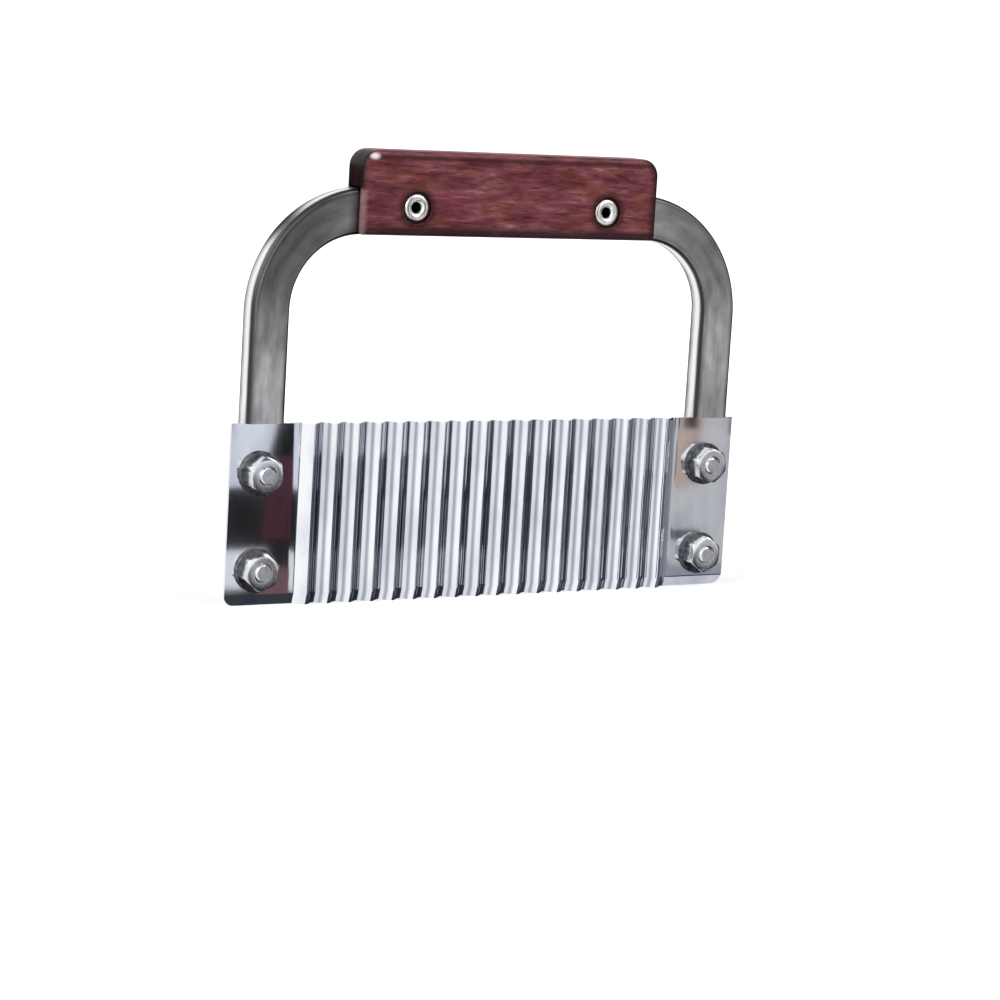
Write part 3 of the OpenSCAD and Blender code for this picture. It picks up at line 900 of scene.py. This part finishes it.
def make_cards():
    """Cards that show in the plain ends of the blade, each with its place on the blade, lean and tone.

    A place is left, right, low and high in millimetres. Later cards stand in front of earlier ones.
    """
    cards = [
        (-84, -60, -2, 53, 0, "#262426"),
        (-84, -70.5, 33.4, 55, 3, "#d4d8e2"),
        (-86, -72.5, 5, 16, 2, "#dadce1"),
        (-71, -63.5, 19, 42, 2, "#4c2c36"),
        (-73, -60, -4, 11, -2.5, "#6a5057"),
        (60, 84, -2, 53, 0, "#b8b9bc"),
        (58, 69, 30, 55, 3, "#b4a29a"),
        (60, 84, -2, 7, 0, "#8e8f9b"),
        (63, 68, 48, 54, 0, "#3c3432"),
        (79, 85, 46, 55, 0, "#3a3a3a"),
        (66, 69.5, 32, 44, 0, "#5c4238"),
        (60, 70, 15, 18, 0, "#55585e"),
        (-68.5, -60, 42.5, 55, 3, "#0c0b0c"),
    ]
    for number, (left, right, low, high, lean, shade) in enumerate(cards):
        (x0, z0), (x1, z1) = in_mirror(left, low), in_mirror(right, high)
        centre = ((x0 + x1) / 2, card_y + card_step * number, (z0 + z1) / 2)
        make_flag(f"blade_card_{number + 1}", centre, ((x1 - x0) / 2, 0, 0), (lean, 0, (z1 - z0) / 2), shade)


def make_world():
    """White to the eye. The metal mirrors a white room with a dark panel at its right.

    Where the Z of the direction falls from -0.1 to -0.12, the panel gives way to a dark wall from the front
    round to the right. The tones run round the horizon: a ramp's position is
    (azimuth from -Y towards +X) / 360 + 1/2.
    """
    world = bpy.data.worlds.new("studio")
    bpy.context.scene.world = world
    world.use_nodes = True
    tree = world.node_tree
    tree.nodes.clear()
    rays = add(tree, "ShaderNodeLightPath")
    direction = add(tree, "ShaderNodeTexCoord").outputs["Generated"]
    axes = add(tree, "ShaderNodeSeparateXYZ", {0: direction}).outputs
    front = add(tree, "ShaderNodeMath", {0: axes["Y"], 1: -1.0}, operation="MULTIPLY")
    azimuth = add(tree, "ShaderNodeMath", {0: axes["X"], 1: front.outputs[0]}, operation="ARCTAN2")
    share = add(tree, "ShaderNodeMath", {
        0: azimuth.outputs[0], 1: 1 / TURN, 2: 0.5}, operation="MULTIPLY_ADD")
    panel, wall = (
        add(tree, "ShaderNodeValToRGB", {0: share.outputs[0]}, [
            (a / 360 + 0.5, tone) for a, tone in zip(
                (-180, *edges, 180), ("#ffffff", "#ffffff", dark, dark, "#ffffff", "#ffffff"))])
        for edges, dark in (((62, 70, 120, 128), "#2c2d31"), ((-26, -12, 128, 140), "#383a41")))
    low = add(tree, "ShaderNodeMapRange", {"Value": axes["Z"], "From Min": -0.1, "From Max": -0.12})
    room = add(tree, "ShaderNodeMix", {
        "Factor": low.outputs[0], 6: panel.outputs[0], 7: wall.outputs[0]}, data_type="RGBA")
    plain = add(tree, "ShaderNodeBackground", {"Color": (1, 1, 1, 1), "Strength": 0.45})
    mirrored = add(tree, "ShaderNodeBackground", {"Color": room.outputs[2], "Strength": 1})
    white = add(tree, "ShaderNodeBackground", {"Color": (1, 1, 1, 1), "Strength": 1})
    in_metal = add(tree, "ShaderNodeMixShader", {
        0: rays.outputs["Is Glossy Ray"], 1: plain.outputs[0], 2: mirrored.outputs[0]})
    seen = add(tree, "ShaderNodeMixShader", {
        0: rays.outputs["Is Camera Ray"], 1: in_metal.outputs[0], 2: white.outputs[0]})
    add(tree, "ShaderNodeOutputWorld", {"Surface": seen.outputs[0]})


make_camera()
make_floor()
make_world()
make_cards()
make_softbox("key_softbox", (0.7, -0.7, 1.1), 0.9, 7)
make_softbox("left_softbox", (-1.1, -0.3, 0.7), 0.9, 9)
make_flag("left_leg_card", (-27, -101, 44), (34, 0, 0), (0, 0, 17), "#fcfcff")
make_flag("right_leg_card", (140, -101, 46), (40, 0, 0), (0, 0, 27), "#b8b8ba")
make_flag("left_bend_flag", (-27, -101, 137), (36, 0, 0), (0, 0, 75), "#040404")
make_flag("right_bend_flag", (141, -101, 139.8), (35, 0, 0), (0, 0, 66.2), "#605e5e")
make_flag("right_bevel_card", (165, -101, -97), (32, 0, 0), (0, 0, 24), "#c8c8d2")
make_flag("last_wave_flag", (62.2, -1.85, 24), (0, 0.8, 0), (0, 0, 26), "#82848e")
make_flag("low_wave_card", (29, -101, -15), (14, 0, 0), (0, 0, 10), "#e0e2ea")
make_flag("middle_wave_card", (29, -101, 3), (14, 0, 0), (0, 0, 8), "#8a8c94")
make_flag("grip_end_flag", (-63, 26, 114), (14, 8, 0), (0, 0, 10), "#050505")
make_flag("rivet_card", (60, -75, 62), (62, 0, 0), (0, 42, 0), "#ffffff")
bpy.context.scene.view_settings.view_transform = "Standard"
